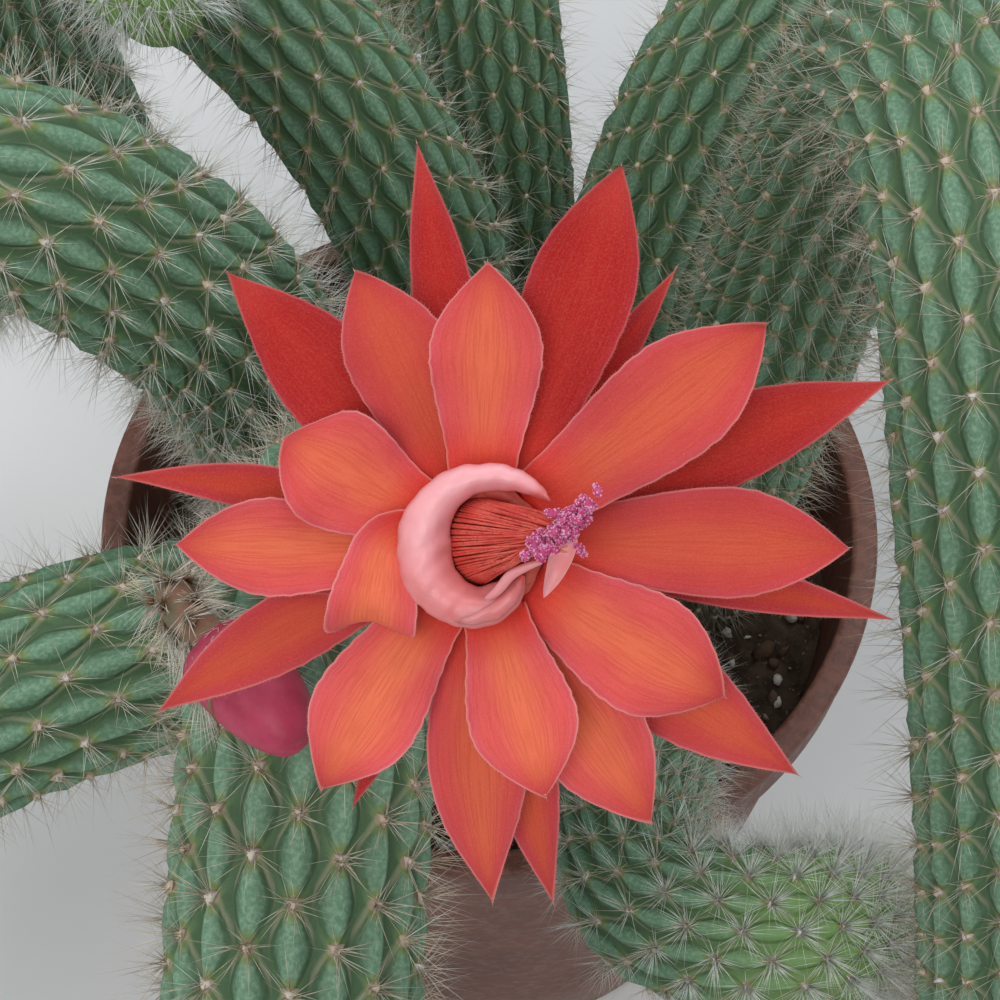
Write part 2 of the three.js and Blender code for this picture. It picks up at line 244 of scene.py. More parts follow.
def joined(parts):
    """Several (points, triangles, values) as one, with the values under the same names."""
    offset, points, triangles, values = 0, [], [], {}
    for p, f, v in parts:
        points.append(p)
        triangles.append(f + offset)
        offset += len(p)
        for key, numbers in v.items():
            values.setdefault(key, []).append(np.broadcast_to(numbers, len(p)))
    values = {key: np.concatenate(numbers) for key, numbers in values.items()}
    return np.concatenate(points), np.concatenate(triangles), values


def spikes(roots, directions, lengths, radii, droop, tone, joints=1):
    """Thin three-sided spines that taper to a point and sag a little, all in one mesh."""
    n = len(roots)
    helper = np.where(np.abs(directions[:, 2:]) > 0.9, [[1.0, 0, 0]], [[0, 0, 1.0]])
    side = unit(np.cross(directions, helper))
    up = np.cross(directions, side)
    angle = np.arange(3) / 3 * TURN
    across = round_about(side, up, angle)
    sag = np.zeros((n, 3))
    sag[:, 2] = -droop * lengths
    rings, runs = [], []
    for k in range(joints + 1):
        share = k / (joints + 1)
        centre = roots + directions * (lengths * share)[:, None] + sag * share**2
        rings.append(centre[:, None] + across * (radii * (1 - 0.75 * share))[:, None, None])
        runs.append(np.full((n, 3), share))
    tip = (roots + directions * lengths[:, None] + sag)[:, None]
    points = np.concatenate([*rings, tip], 1)
    run = np.concatenate([*runs, np.ones((n, 1))], 1)
    one = [[0, 2, 1]]
    for k in range(joints):
        for i in range(3):
            j, a = (i + 1) % 3, 3 * k
            one += [[a + i, a + j, a + 3 + j], [a + i, a + 3 + j, a + 3 + i]]
    top = 3 * joints
    one += [[top + i, top + (i + 1) % 3, top + 3] for i in range(3)]
    count = points.shape[1]
    triangles = (np.array(one)[None] + (np.arange(n) * count)[:, None, None]).reshape(-1, 3)
    return points.reshape(-1, 3), triangles, {
        "run": run.reshape(-1), "tone": np.repeat(tone, count)}


# ---- Materials ----
class Look:
    """Builds one procedural material round a Principled shader."""

    def __init__(self, name, **constants):
        self.material = bpy.data.materials.new(name)
        self.material.use_nodes = True
        self.tree = self.material.node_tree
        self.shader = self.tree.nodes["Principled BSDF"]
        for key, value in constants.items():
            self.shader.inputs[key.replace("_", " ")].default_value = value

    def add(self, kind, inputs=(), out=0, **settings):
        """A node of a kind with its inputs set or linked; returns one of its outputs."""
        node = self.tree.nodes.new(kind)
        for key, value in settings.items():
            setattr(node, key, value)
        for key, value in dict(inputs).items():
            self.feed(node.inputs[key], value)
        return node.outputs[out]

    def feed(self, socket, value):
        if isinstance(value, bpy.types.NodeSocket):
            self.tree.links.new(value, socket)
        elif isinstance(value, tuple) and len(value) == 3 and socket.type == "RGBA":
            socket.default_value = (*value, 1)
        else:
            socket.default_value = value

    def value(self, name):
        return self.add("ShaderNodeAttribute", attribute_name=name, out=2)

    def place(self, stretch=(1, 1, 1)):
        spot = self.add("ShaderNodeTexCoord", out=3)
        return self.add("ShaderNodeMapping", {"Vector": spot, "Scale": stretch})

    def noise(self, size, detail=3.0, vector=None, rough=0.55):
        """Noise from 0 to 1 whose features are about size millimetres."""
        vector = vector or self.place()
        return self.add("ShaderNodeTexNoise", {
            "Vector": vector, "Scale": 1 / (size * MM), "Detail": detail, "Roughness": rough})

    def math(self, operation, a, b=0.0, c=0.0, clamp=False):
        return self.add("ShaderNodeMath", {0: a, 1: b, 2: c}, operation=operation, use_clamp=clamp)

    def times(self, a, b):
        return self.math("MULTIPLY", a, b)

    def plus(self, a, b):
        return self.math("ADD", a, b)

    def less(self, a, b):
        return self.math("SUBTRACT", a, b)

    def rise(self, value, low, high, to_low=0.0, to_high=1.0):
        """A smooth step of value between low and high."""
        return self.add("ShaderNodeMapRange", {
            "Value": value, "From Min": low, "From Max": high, "To Min": to_low, "To Max": to_high,
        }, interpolation_type="SMOOTHSTEP")

    def mix(self, factor, a, b, blend="MIX"):
        node = self.tree.nodes.new("ShaderNodeMix")
        node.data_type, node.blend_type = "RGBA", blend
        self.feed(node.inputs[0], factor)
        self.feed(node.inputs[6], a)
        self.feed(node.inputs[7], b)
        return node.outputs[2]

    def bump(self, height, millimetres, strength=1.0, after=None):
        inputs = {"Height": height, "Distance": millimetres * MM, "Strength": strength}
        if after is not None:
            inputs["Normal"] = after
        return self.add("ShaderNodeBump", inputs)

    def done(self, colour=None, roughness=None, normal=None):
        for key, value in (("Base Color", colour), ("Roughness", roughness), ("Normal", normal)):
            if value is not None:
                self.feed(self.shader.inputs[key], value)
        return self.material


def stem_look():
    """Green flesh with pale grooves and wool, laid out by rib (u) and pad row (v), with a painted highlight
    on each tubercle and painted shade in the valleys.
    """
    look = Look("stem_flesh", Specular_IOR_Level=0.35, Subsurface_Weight=0.08,
                Subsurface_Scale=0.002)
    spot = look.add("ShaderNodeUVMap", uv_map="UVMap")
    split = look.add("ShaderNodeSeparateXYZ", {0: spot}).node
    rib, row = split.outputs[0], split.outputs[1]
    odd = look.math("MODULO", look.math("FLOOR", rib), 2.0)
    across = look.less(look.math("FRACT", rib), 0.5)
    side = look.times(look.math("ABSOLUTE", across), 2.0)
    down = look.math("FRACT", look.plus(row, look.times(odd, 0.5)))
    near = look.math("ABSOLUTE", look.less(look.math("FRACT", look.plus(down, 0.5)), 0.5))
    # The body under a pad is a long lens: widest half way to the next pad.
    lens = look.times(look.math("SINE", look.times(down, math.pi)), 0.75)
    rim = look.less(side, look.plus(lens, 0.22))
    body = look.rise(rim, 0.0, -0.35)
    groove = look.times(look.rise(rim, -0.12, 0.03), look.rise(rim, 0.3, 0.05))
    lines = look.times(groove, look.rise(down, 0.66, 0.2))
    # The valleys between the ribs: the mask for the painted shade below.
    painted_valley_shade_mask = look.rise(look.math("MAXIMUM", rim, look.times(side, 0.35)), 0.02, 0.34)
    pad = look.rise(look.math("SQRT", look.plus(
        look.math("POWER", look.times(side, 2.6), 2.0),
        look.math("POWER", look.times(near, 11.0), 2.0))), 1.25, 0.7)
    patch = look.noise(14, 3)
    grain = look.noise(0.5, 4)
    green = look.mix(patch, (0.085, 0.175, 0.078), (0.155, 0.260, 0.105))
    # Painted highlight: the middle of each tubercle is painted a paler, bluish green, in two layers.
    painted_crest_sheen = look.mix(body, green, (0.120, 0.240, 0.145))
    light = look.mix(look.times(body, look.rise(grain, 0.35, 0.75)), painted_crest_sheen, (0.235, 0.385, 0.265))
    # Painted shade: the valleys between the ribs are painted a darker green.
    dark = look.mix(look.times(painted_valley_shade_mask, 0.75), light, (0.045, 0.092, 0.044))
    fresh = look.mix(look.rise(look.value("tip_near"), 0.15, 0.95), dark, (0.200, 0.345, 0.105))
    cork = look.mix(look.times(look.value("foot_near"), look.rise(grain, 0.2, 0.6)),
                    fresh, (0.17, 0.125, 0.078))
    lined = look.mix(look.times(lines, 0.45), cork, (0.330, 0.290, 0.215))
    yellow = look.mix(look.times(look.rise(near, 0.26, 0.06), look.rise(side, 0.6, 0.1)),
                      lined, (0.190, 0.235, 0.060))
    wool = look.mix(pad, yellow, (0.38, 0.30, 0.22))
    roughness = look.add("ShaderNodeMapRange", {"Value": grain, "To Min": 0.5, "To Max": 0.75})
    height = look.plus(look.times(body, 0.6), look.times(grain, 0.18))
    return look.done(wool, roughness, look.bump(height, 0.9, 0.8))


def spine_look():
    """Hair-like spines: tone runs from brown through straw to white, tips paler."""
    look = Look("spine_hair", Roughness=0.55, Specular_IOR_Level=0.4, Subsurface_Weight=0.15,
                Subsurface_Scale=0.001)
    tone, run = look.value("tone"), look.value("run")
    dark = look.mix(look.rise(tone, 0.0, 0.45), (0.27, 0.190, 0.125), (0.56, 0.460, 0.345))
    pale = look.mix(look.rise(tone, 0.45, 1.0), dark, (0.86, 0.88, 0.84))
    colour = look.mix(look.times(run, 0.3), pale, (0.72, 0.66, 0.55))
    roughness = look.rise(look.noise(0.4, 2), 0.2, 0.8, 0.45, 0.7)
    return look.done(colour, roughness)


def tepal_look():
    """Velvet tepals: orange along the middle, coral, then rosy red at the margin, with fine veins. Redder
    tepals are also painted darker, partly as painted shade.
    """
    look = Look("tepal", Specular_IOR_Level=0.16, Sheen_Weight=0.10, Sheen_Roughness=0.5,
                Sheen_Tint=(1.0, 0.72, 0.68, 1), Subsurface_Weight=0.12, Subsurface_Scale=0.0012,
                Subsurface_Radius=(1.0, 0.25, 0.15))
    along, side = look.value("along"), look.value("side")
    redness_and_shade, edge = look.value("redness_and_shade"), look.value("edge_mm")
    grain = look.noise(0.16, 3)
    patch = look.noise(5, 3)
    streak = look.add("ShaderNodeCombineXYZ", {0: look.times(along, 5.0),
                                             1: look.times(side, 34.0), 2: redness_and_shade})
    vein = look.add("ShaderNodeTexNoise", {"Vector": streak, "Scale": 1.0, "Detail": 2.0})
    # Redness is partly real red and partly painted shade: the red end is much darker as well as redder.
    middle = look.mix(redness_and_shade, (0.84, 0.180, 0.084), (0.41, 0.008, 0.006))
    flank = look.mix(redness_and_shade, (0.77, 0.108, 0.100), (0.37, 0.005, 0.006))
    rosy = look.mix(redness_and_shade, (0.73, 0.105, 0.130), (0.36, 0.010, 0.020))
    spread = look.plus(side, look.times(look.less(patch, 0.5), 0.7))
    body = look.mix(look.rise(spread, 0.12, 0.72), middle, flank)
    margin = look.mix(look.rise(edge, 1.1, 0.2), body, rosy)
    foot = look.mix(look.rise(along, 0.30, 0.03), margin, (0.68, 0.040, 0.026))
    tip = look.mix(look.times(look.rise(along, 0.72, 1.0), 0.7), foot, (0.52, 0.042, 0.036))
    veined = look.mix(look.times(look.rise(vein, 0.42, 0.62), 0.30), tip, (0.50, 0.035, 0.020))
    fuzz = look.mix(look.rise(grain, 0.40, 0.72, 0.0, 0.10), veined, (0.88, 0.30, 0.22))
    paler = look.less(0.5, look.times(redness_and_shade, 0.32))
    fringe = look.mix(look.times(look.rise(edge, 0.24, 0.03), paler), fuzz, (0.82, 0.38, 0.34))
    height = look.plus(look.times(vein, 0.7), look.times(grain, 0.5))
    roughness = look.rise(grain, 0.2, 0.8, 0.5, 0.72)
    return look.done(fringe, roughness, look.bump(height, 0.12, 0.6))


def fleshy_look(name, colours, size, shine=0.45, depth=0.1):
    """Smooth living flesh mottled between three colours at a size in millimetres."""
    look = Look(name, Specular_IOR_Level=0.4, Subsurface_Weight=0.2, Subsurface_Scale=0.0015)
    patch, grain = look.noise(size, 3), look.noise(size * 0.12, 3)
    two = look.mix(look.rise(patch, 0.32, 0.68), colours[0], colours[1])
    three = look.mix(look.rise(grain, 0.5, 0.8), two, colours[2])
    return look.done(three, look.rise(grain, 0.2, 0.8, shine, shine + 0.2), look.bump(grain, depth, 0.6))


def collar_look():
    """The rolled collar: whitish pink, painted paler on its crest as a painted highlight, and painted deep
    red on its underside where it meets the red, as a painted shadow.
    """
    look = Look("collar", Specular_IOR_Level=0.45, Subsurface_Weight=0.35, Subsurface_Scale=0.0018,
                Subsurface_Radius=(1.0, 0.35, 0.3), Coat_Weight=0.1)
    crest = look.value("crest")
    patch, grain = look.noise(2.6, 3), look.noise(0.35, 4)
    pink = look.mix(look.rise(patch, 0.35, 0.7), (0.73, 0.225, 0.225), (0.69, 0.170, 0.168))
    # Partly the collar's own whitish pink, partly a painted highlight: the roll's upward face and the top of
    # the ring are painted paler.
    pale = look.mix(look.times(look.rise(crest, 0.45, 0.95), 0.9), pink, (0.88, 0.430, 0.460))
    # Painted shadow: deep red where the roll turns down to the tepals and at its thin ends.
    painted_underside_shadow = look.mix(look.rise(crest, 0.38, 0.02), pale, (0.70, 0.10, 0.085))
    return look.done(painted_underside_shadow, look.rise(grain, 0.2, 0.8, 0.36, 0.55), look.bump(grain, 0.08, 0.5))


def pot_look():
    """Brownish red moulded plastic, dusty with water marks low down and a scuffed rim."""
    look = Look("pot_plastic", Specular_IOR_Level=0.45)
    spot = look.add("ShaderNodeTexCoord", out=3)
    height = look.add("ShaderNodeSeparateXYZ", {0: spot}).node.outputs[2]
    cloud, grain = look.noise(22, 4), look.noise(0.6, 4)
    speck = look.noise(2.2, 5, rough=0.7)
    clay = look.mix(look.rise(cloud, 0.3, 0.7), (0.125, 0.043, 0.029), (0.185, 0.066, 0.044))
    dusty = look.mix(look.times(look.rise(speck, 0.52, 0.75), 0.35), clay, (0.27, 0.165, 0.12))
    low = look.times(look.rise(height, 0.03, 0.0), look.rise(cloud, 0.3, 0.6))
    limed = look.mix(look.times(low, 0.5), dusty, (0.34, 0.26, 0.21))
    rim = look.times(look.rise(height, 0.1135, 0.1150), look.rise(speck, 0.4, 0.6))
    worn = look.mix(look.times(rim, 0.6), limed, (0.28, 0.125, 0.09))
    roughness = look.rise(speck, 0.3, 0.7, 0.42, 0.68)
    return look.done(worn, roughness, look.bump(grain, 0.12, 0.5))


def soil_look():
    look = Look("potting_mix", Specular_IOR_Level=0.2)
    clump, grain = look.noise(4, 5), look.noise(0.8, 5)
    dark = look.mix(look.rise(clump, 0.3, 0.7), (0.028, 0.018, 0.012), (0.085, 0.055, 0.036))
    bits = look.mix(look.rise(grain, 0.60, 0.72), dark, (0.20, 0.150, 0.105))
    height = look.plus(clump, look.times(grain, 0.6))
    return look.done(bits, look.rise(grain, 0.2, 0.8, 0.8, 0.98), look.bump(height, 1.2, 0.9))


def grit_look():
    """Pumice, bark and grit: tone sets which."""
    look = Look("grit", Specular_IOR_Level=0.3)
    tone, grain = look.value("tone"), look.noise(0.5, 4)
    brown = look.mix(look.rise(tone, 0.3, 0.5), (0.095, 0.050, 0.030), (0.26, 0.20, 0.15))
    pale = look.mix(look.rise(tone, 0.72, 0.82), brown, (0.62, 0.58, 0.52))
    pitted = look.mix(look.rise(grain, 0.55, 0.75), pale, (0.13, 0.10, 0.08))
    return look.done(pitted, look.rise(grain, 0.2, 0.8, 0.7, 0.95), look.bump(grain, 0.3, 0.8))


def plain_look(name, colour, second, size, roughness):
    look = Look(name, Roughness=roughness, Specular_IOR_Level=0.2)
    return look.done(look.mix(look.rise(look.noise(size, 3), 0.3, 0.7), colour, second))


LOOKS = {
    "stem": stem_look(),
    "spine": spine_look(),
    "tepal": tepal_look(),
    "collar": collar_look(),
    "fringe": fleshy_look("fringe", [
        (0.76, 0.32, 0.28), (0.84, 0.46, 0.42), (0.68, 0.20, 0.17)], 3.0, 0.6),
    "filament": fleshy_look("filament", [
        (0.66, 0.060, 0.045), (0.76, 0.120, 0.085), (0.42, 0.012, 0.014)], 2.0),
    "style": fleshy_look("style", [
        (0.74, 0.24, 0.18), (0.80, 0.34, 0.24), (0.66, 0.16, 0.12)], 1.5),
    "anther": fleshy_look("anther", [
        (0.50, 0.035, 0.135), (0.68, 0.110, 0.27), (0.30, 0.014, 0.065)], 0.5, 0.6, 0.2),
    "pollen": fleshy_look("pollen", [
        (0.86, 0.200, 0.42), (0.96, 0.50, 0.70), (0.62, 0.060, 0.20)], 0.5, 0.6, 0.1),
    "tube": fleshy_look("flower_tube", [
        (0.46, 0.055, 0.045), (0.56, 0.115, 0.070), (0.32, 0.05, 0.04)], 4.0),
    "bud_tube": fleshy_look("bud_tube", [
        (0.16, 0.13, 0.075), (0.26, 0.11, 0.075), (0.10, 0.14, 0.06)], 3.0, 0.5),
    "bud": fleshy_look("bud", [
        (0.33, 0.022, 0.058), (0.45, 0.042, 0.100), (0.38, 0.058, 0.075)], 4.0, 0.45),
    "pot": pot_look(),
    "soil": soil_look(),
    "grit": grit_look(),
}


# ---- Stems ----
def stem_profile(girth, path):
    """Radius along a stem: thin in the mix, full above it, round at the tip."""
    def radius(distance):
        swell = STEM_BASE_RADIUS + (STEM_RADIUS - STEM_BASE_RADIUS) * smooth(distance / STEM_SWELL)
        to_tip = np.minimum(1, (path.length - distance) / STEM_TIP)
        return girth * swell * np.sqrt(np.maximum(0, 1 - (1 - to_tip) ** 2))
    return radius


def pad_rows(path):
    """The pad row at each distance; rows crowd together towards the growing tip."""
    distance = np.linspace(0, path.length, 600)
    gap = PAD_GAP * (0.38 + 0.62 * smooth((path.length - distance) / 34))
    return distance, np.concatenate([[0], np.cumsum((distance[1] - distance[0]) / gap[1:])])


def stem_ring_stops(path, gap):
    body = path.length - STEM_TIP
    even = np.linspace(0, body, int(body / gap))
    closing = np.sin(np.linspace(0, math.pi / 2, 15)[1:-1])
    return np.concatenate([even, body + STEM_TIP * closing, [path.length - 0.02]])


def build_stem(name, girth, points, gap, per_rib=4):
    """The ribbed, knobbly body of one stem."""
    path = Path(points)
    radius = stem_profile(girth, path)
    stops = stem_ring_stops(path, gap)
    rows = np.interp(stops, *pad_rows(path))
    place, _, side, up = path.at(stops)
    sides = RIBS * per_rib
    phase = np.arange(sides) / per_rib
    across = np.mod(phase, 1) - 0.5
    odd = np.floor(phase).astype(int) % 2
    down = np.mod(rows[:, None] + 0.5 * odd[None], 1)
    shift = 0.30 * np.sign(across) * (2 * np.abs(across)) ** 2 * np.cos(TURN * (down - 0.5))
    angle = (phase[None] + 0.25 * shift) / RIBS * TURN
    crest = np.cos(math.pi * across)[None] ** 2
    notch = np.exp(-(((down - 0.93) / 0.07) ** 2)) + np.exp(-(((down + 0.07) / 0.07) ** 2))
    knob = 0.72 + 0.28 * np.sin(math.pi * np.clip(down * 1.05, 0, 1)) ** 0.8 - 0.30 * notch
    wave = 0.012 * np.sin(stops / 17 + girth * 40)[:, None] * np.cos(phase / RIBS * TURN + 1)[None]
    r = radius(stops)[:, None] * (0.89 + 0.15 * crest * knob + wave)
    direction = (side[:, None] * np.cos(angle)[..., None] + up[:, None] * np.sin(angle)[..., None])
    grid = place[:, None] + direction * r[..., None]
    vertices, faces = skin(grid)
    tip_near = np.repeat(smooth((45 - (path.length - stops)) / 45), sides)
    foot_near = np.repeat(smooth((62 - stops) / 35), sides)
    ends = [[foot_near[0], foot_near[-1]], [tip_near[0], tip_near[-1]]]
    u = np.concatenate([np.tile(phase, len(stops)), [0, 0]])
    v = np.concatenate([np.repeat(rows, sides), [rows[0], rows[-1]]])
    uv = np.stack([u[faces], v[faces]], -1)
    seam = (uv[..., 0].max(1) - uv[..., 0].min(1)) > RIBS / 2
    low = uv[..., 0] < RIBS / 2
    uv[..., 0] += (seam[:, None] & low) * RIBS
    make_piece(name + "_body", vertices * MM, faces, LOOKS["stem"], [name],
               {"tip_near": np.concatenate([tip_near, ends[1]]),
                "foot_near": np.concatenate([foot_near, ends[0]])}, uv.reshape(-1, 2))
    return path, radius


def pad_places(path, radius):
    """Where every wool pad sits: its distance, place, outward direction and stem direction."""
    table, rows = pad_rows(path)
    found = []
    for rib in range(RIBS):
        wanted = np.arange(1, int(rows[-1])) + (0.0 if rib % 2 == 0 else 0.5)
        distance = np.interp(wanted, rows, table)
        distance = distance[(distance > 20) & (distance < path.length - 1.2)]
        found.append(np.stack([distance, np.full(len(distance), (rib + 0.5) / RIBS * TURN)], -1))
    distance, angle = np.concatenate(found).T
    place, along, side, up = path.at(distance)
    out = side * np.cos(angle)[:, None] + up * np.sin(angle)[:, None]
    slope = (radius(np.minimum(distance + 0.4, path.length)) - radius(distance - 0.4)) / 0.8
    normal = unit(out - along * np.clip(slope, -4, 1)[:, None])
    return distance, place + out * radius(distance)[:, None], normal, along


def cone_directions(normal, along, low, high):
    """Directions round the normals, tilted from them by low to high degrees."""
    n = len(normal)
    tilt = np.radians(CHANCE.uniform(low, high, n))
    turn = CHANCE.uniform(0, TURN, n)
    across = np.cross(normal, along)
    flat = along * np.cos(turn)[:, None] + across * np.sin(turn)[:, None]
    return unit(normal * np.cos(tilt)[:, None] + flat * np.sin(tilt)[:, None])


def build_spines(name, path, radius, girth, count, hair_tone):
    """The wool pads of one stem and the spines that stand in them."""
    distance, place, normal, along = pad_places(path, radius)
    tip = smooth((42 - (path.length - distance)) / 42)
    # Pads that face down or stand deep in the pot carry fewer hairs.
    full = (normal[:, 2] > -0.35) & (distance > 42)
    parts = []
    for k in range(count):
        here = full if k > 0.45 * count else np.full(len(full), True)
        n, at, out, on = here.sum(), place[here], normal[here], along[here]
        upright = k % 5 < 3
        aim = cone_directions(out, on, *((4, 62) if upright else (52, 88)))
        size = CHANCE.uniform(4.4, 8.2, n) if upright else CHANCE.uniform(2.6, 5.0, n)
        size = size * (0.55 + 0.45 * min(1, girth)) * (1 + 0.15 * tip[here])
        tone = np.clip(CHANCE.normal(hair_tone, 0.18, n) + 0.5 * tip[here], 0, 1)
        root = at + cone_directions(out, on, 60, 90) * 0.4 - out * 0.3
        thick = np.full(n, 0.052 if upright else 0.044)
        parts.append(spikes(root, aim, size, thick, 0.10, tone, 0))
    young = tip > 0.12
    for k in range(SPECIAL_YOUNG_HAIRS.get(name, YOUNG_HAIRS)):
        aim = cone_directions(normal[young], along[young], 5, 66)
        aim = unit(aim + along[young] * 0.45)
        n = len(aim)
        parts.append(spikes(place[young] - normal[young] * 0.3, aim,
                            CHANCE.uniform(5.5, 11.0, n) * (0.5 + 0.5 * tip[young]),
                            np.full(n, 0.05), 0.12, np.clip(CHANCE.normal(0.92, 0.08, n), 0, 1), 0))
    parts.append(wool_pads(place, normal, along, girth, tip))
    points, triangles, values = joined(parts)
    points[:, 2] = np.maximum(points[:, 2], 0.5)
    make_piece(name + "_spines", points * MM, triangles, LOOKS["spine"], (), values)


def wool_pads(place, normal, along, girth, tip):
    """A low tuft of wool at each pad."""
    n, sides = len(place), 3
    across = np.cross(normal, along)
    angle = np.arange(sides) / sides * TURN
    size = (0.95 * girth * CHANCE.uniform(0.85, 1.2, n))[:, None, None]
    flat = (along[:, None] * np.cos(angle)[None, :, None] * 1.15
            + across[:, None] * np.sin(angle)[None, :, None])
    rim = place[:, None] + flat * size - normal[:, None] * 0.35
    top = (place + normal * (0.50 * girth))[:, None]
    foot = (place - normal * 0.6)[:, None]
    points = np.concatenate([rim, top, foot], 1)
    one = [[i, (i + 1) % sides, sides] for i in range(sides)]
    one += [[(i + 1) % sides, i, sides + 1] for i in range(sides)]
    triangles = (np.array(one)[None] + (np.arange(n) * (sides + 2))[:, None, None]).reshape(-1, 3)
    tone = np.clip(CHANCE.normal(0.52, 0.1, n) + 0.4 * tip, 0, 1)
    return points.reshape(-1, 3), triangles, {
        "run": np.zeros(n * (sides + 2)), "tone": np.repeat(tone, sides + 2)}


for stem_name, girth, spines, hair_tone, line in STEMS:
    gap = NEAR_RING_GAP if stem_name == NEAR_STEM else RING_GAP
    stem_path, stem_radius = build_stem(stem_name, girth, line, gap)
    build_spines(stem_name, stem_path, stem_radius, girth, spines, hair_tone)


# ---- Flower, in its own frame in millimetres ----
def tepal_rise(radius, layer):
    """Height of the face that the tepals follow; outer layers bend back more."""
    out = radius - CLAW_RADIUS
    depth = layer * LAYER_GAP
    return -0.6 - depth + (0.2 - 0.055 * depth) * out - 0.0045 * out * out


def tepal_half_width(t, width, belly, sharpness):
    """Half the blade's width: a broad claw, a belly, then a tip that sharpness draws out."""
    claw = 0.60 + 0.40 * smooth(t / belly)
    tip = np.cos(math.pi / 2 * np.clip((t - belly) / (1 - belly), 0, 1)) ** sharpness
    return width / 2 * np.where(t < belly, claw, tip)


def tepal_line(reach, layer, sweep, curl, rows):
    """A blade's middle line from its claw to its tip, with its directions across and up. It
    turns sideways by sweep degrees, and its end curls back by curl degrees."""
    t = 1 - (1 - np.linspace(0, 1, rows)) ** 1.15
    t[-1] = 0.999
    start = CLAW_RADIUS - (0.6 if layer >= 1 else 0.8)
    radius = start + (reach - start) * t
    z = tepal_rise(radius, layer)
    step = np.hypot(np.diff(z), np.diff(radius))
    slope = np.interp(t, (t[1:] + t[:-1]) / 2, np.arctan2(np.diff(z), np.diff(radius)))
    pitch = slope - math.radians(curl) * smooth((t - 0.5) / 0.5)
    yaw = math.radians(sweep) * (t**1.2 if layer >= 1 else smooth(t / 0.35))
    ahead = np.stack([np.cos(pitch) * np.cos(yaw), np.cos(pitch) * np.sin(yaw), np.sin(pitch)], -1)
    across = np.stack([-np.sin(yaw), np.cos(yaw), 0 * yaw], -1)
    moves = step[:, None] * (ahead[1:] + ahead[:-1]) / 2
    line = np.concatenate([np.zeros((1, 3)), np.cumsum(moves, 0)]) + [start, 0, z[0]]
    return t, line, across, np.cross(ahead, across)


def build_tepal(number, turn, reach, width, layer, sweep, curl, redness_and_shade):
    """One tepal as a thin closed blade, and the points of its margin for the fringe."""
    rows, columns = 36, 15
    cup = 0.13 - 0.02 * layer if layer else 0.36
    belly, sharpness = (0.72, 0.95) if layer == 0 else (0.59, 0.95) if layer < 3 else (0.47, 1.12)
    layer = layer + 0.15 * (number * 3 % 6)
    t, line, across, lift = tepal_line(reach, layer, sweep, curl, rows)
    half = tepal_half_width(t, width, belly, sharpness)
    k = np.cos(np.linspace(0, math.pi, columns))
    k = np.sign(k) * np.abs(k) ** 0.85
    wave = CHANCE.uniform(0, TURN, 4)
    ruffle = 0.05 * width * np.sin(t * 9 + wave[0])[:, None] * (k**3)[None]
    ruffle += 0.014 * width * np.sin(t * 23 + wave[1])[:, None] * (np.abs(k) ** 3)[None]
    cupped = cup * (half * (0.4 + 0.6 * smooth(t / 0.7)))[:, None] * (np.abs(k) ** 1.7)[None]
    furrow = -0.16 * np.exp(-((k / 0.10) ** 2))[None] * (1 - t[:, None]) ** 0.5
    folds = 0.05 * np.cos(k * 15)[None] * (1 - t[:, None])
    nibble = 1 + 0.008 * np.sin(t * 70 + wave[2]) + 0.007 * np.sin(t * 131 + wave[3])
    wide = (half * nibble)[:, None] * k[None]
    height = cupped + ruffle + furrow + folds
    body = 0.40 * (1 - np.abs(k) ** 4)[None] * (0.35 + 0.65 * np.sqrt(1 - t**2))[:, None] + 0.07
    top = line[:, None] + across[:, None] * wide[..., None] + lift[:, None] * height[..., None]
    under = (top - lift[:, None] * body[..., None])[:, ::-1]
    vertices, faces = skin(np.concatenate([top, under], 1))
    side = np.abs(k)
    near = half[:, None] * (1 - side)[None]
    near = np.minimum(near, ((1 - t) * (reach - CLAW_RADIUS) * 0.6 + 0.03)[:, None])

    def both(values):
        sheet = np.broadcast_to(values, wide.shape)
        loop = np.concatenate([sheet, sheet[:, ::-1]], 1)
        return np.concatenate([loop.ravel(), [sheet[0].mean(), sheet[-1].mean()]])

    values = {"along": both(t[:, None]), "side": both(side[None]), "edge_mm": both(near),
              "redness_and_shade": np.full(len(vertices), redness_and_shade)}
    world = FLOWER_TO_WORLD @ Matrix.Rotation(math.radians(turn), 4, "Z")
    make_piece(f"tepal_{number:02d}_blade", moved(vertices, world), faces, LOOKS["tepal"],
               [f"tepal_{number:02d}"], values)
    return world, top, body, t


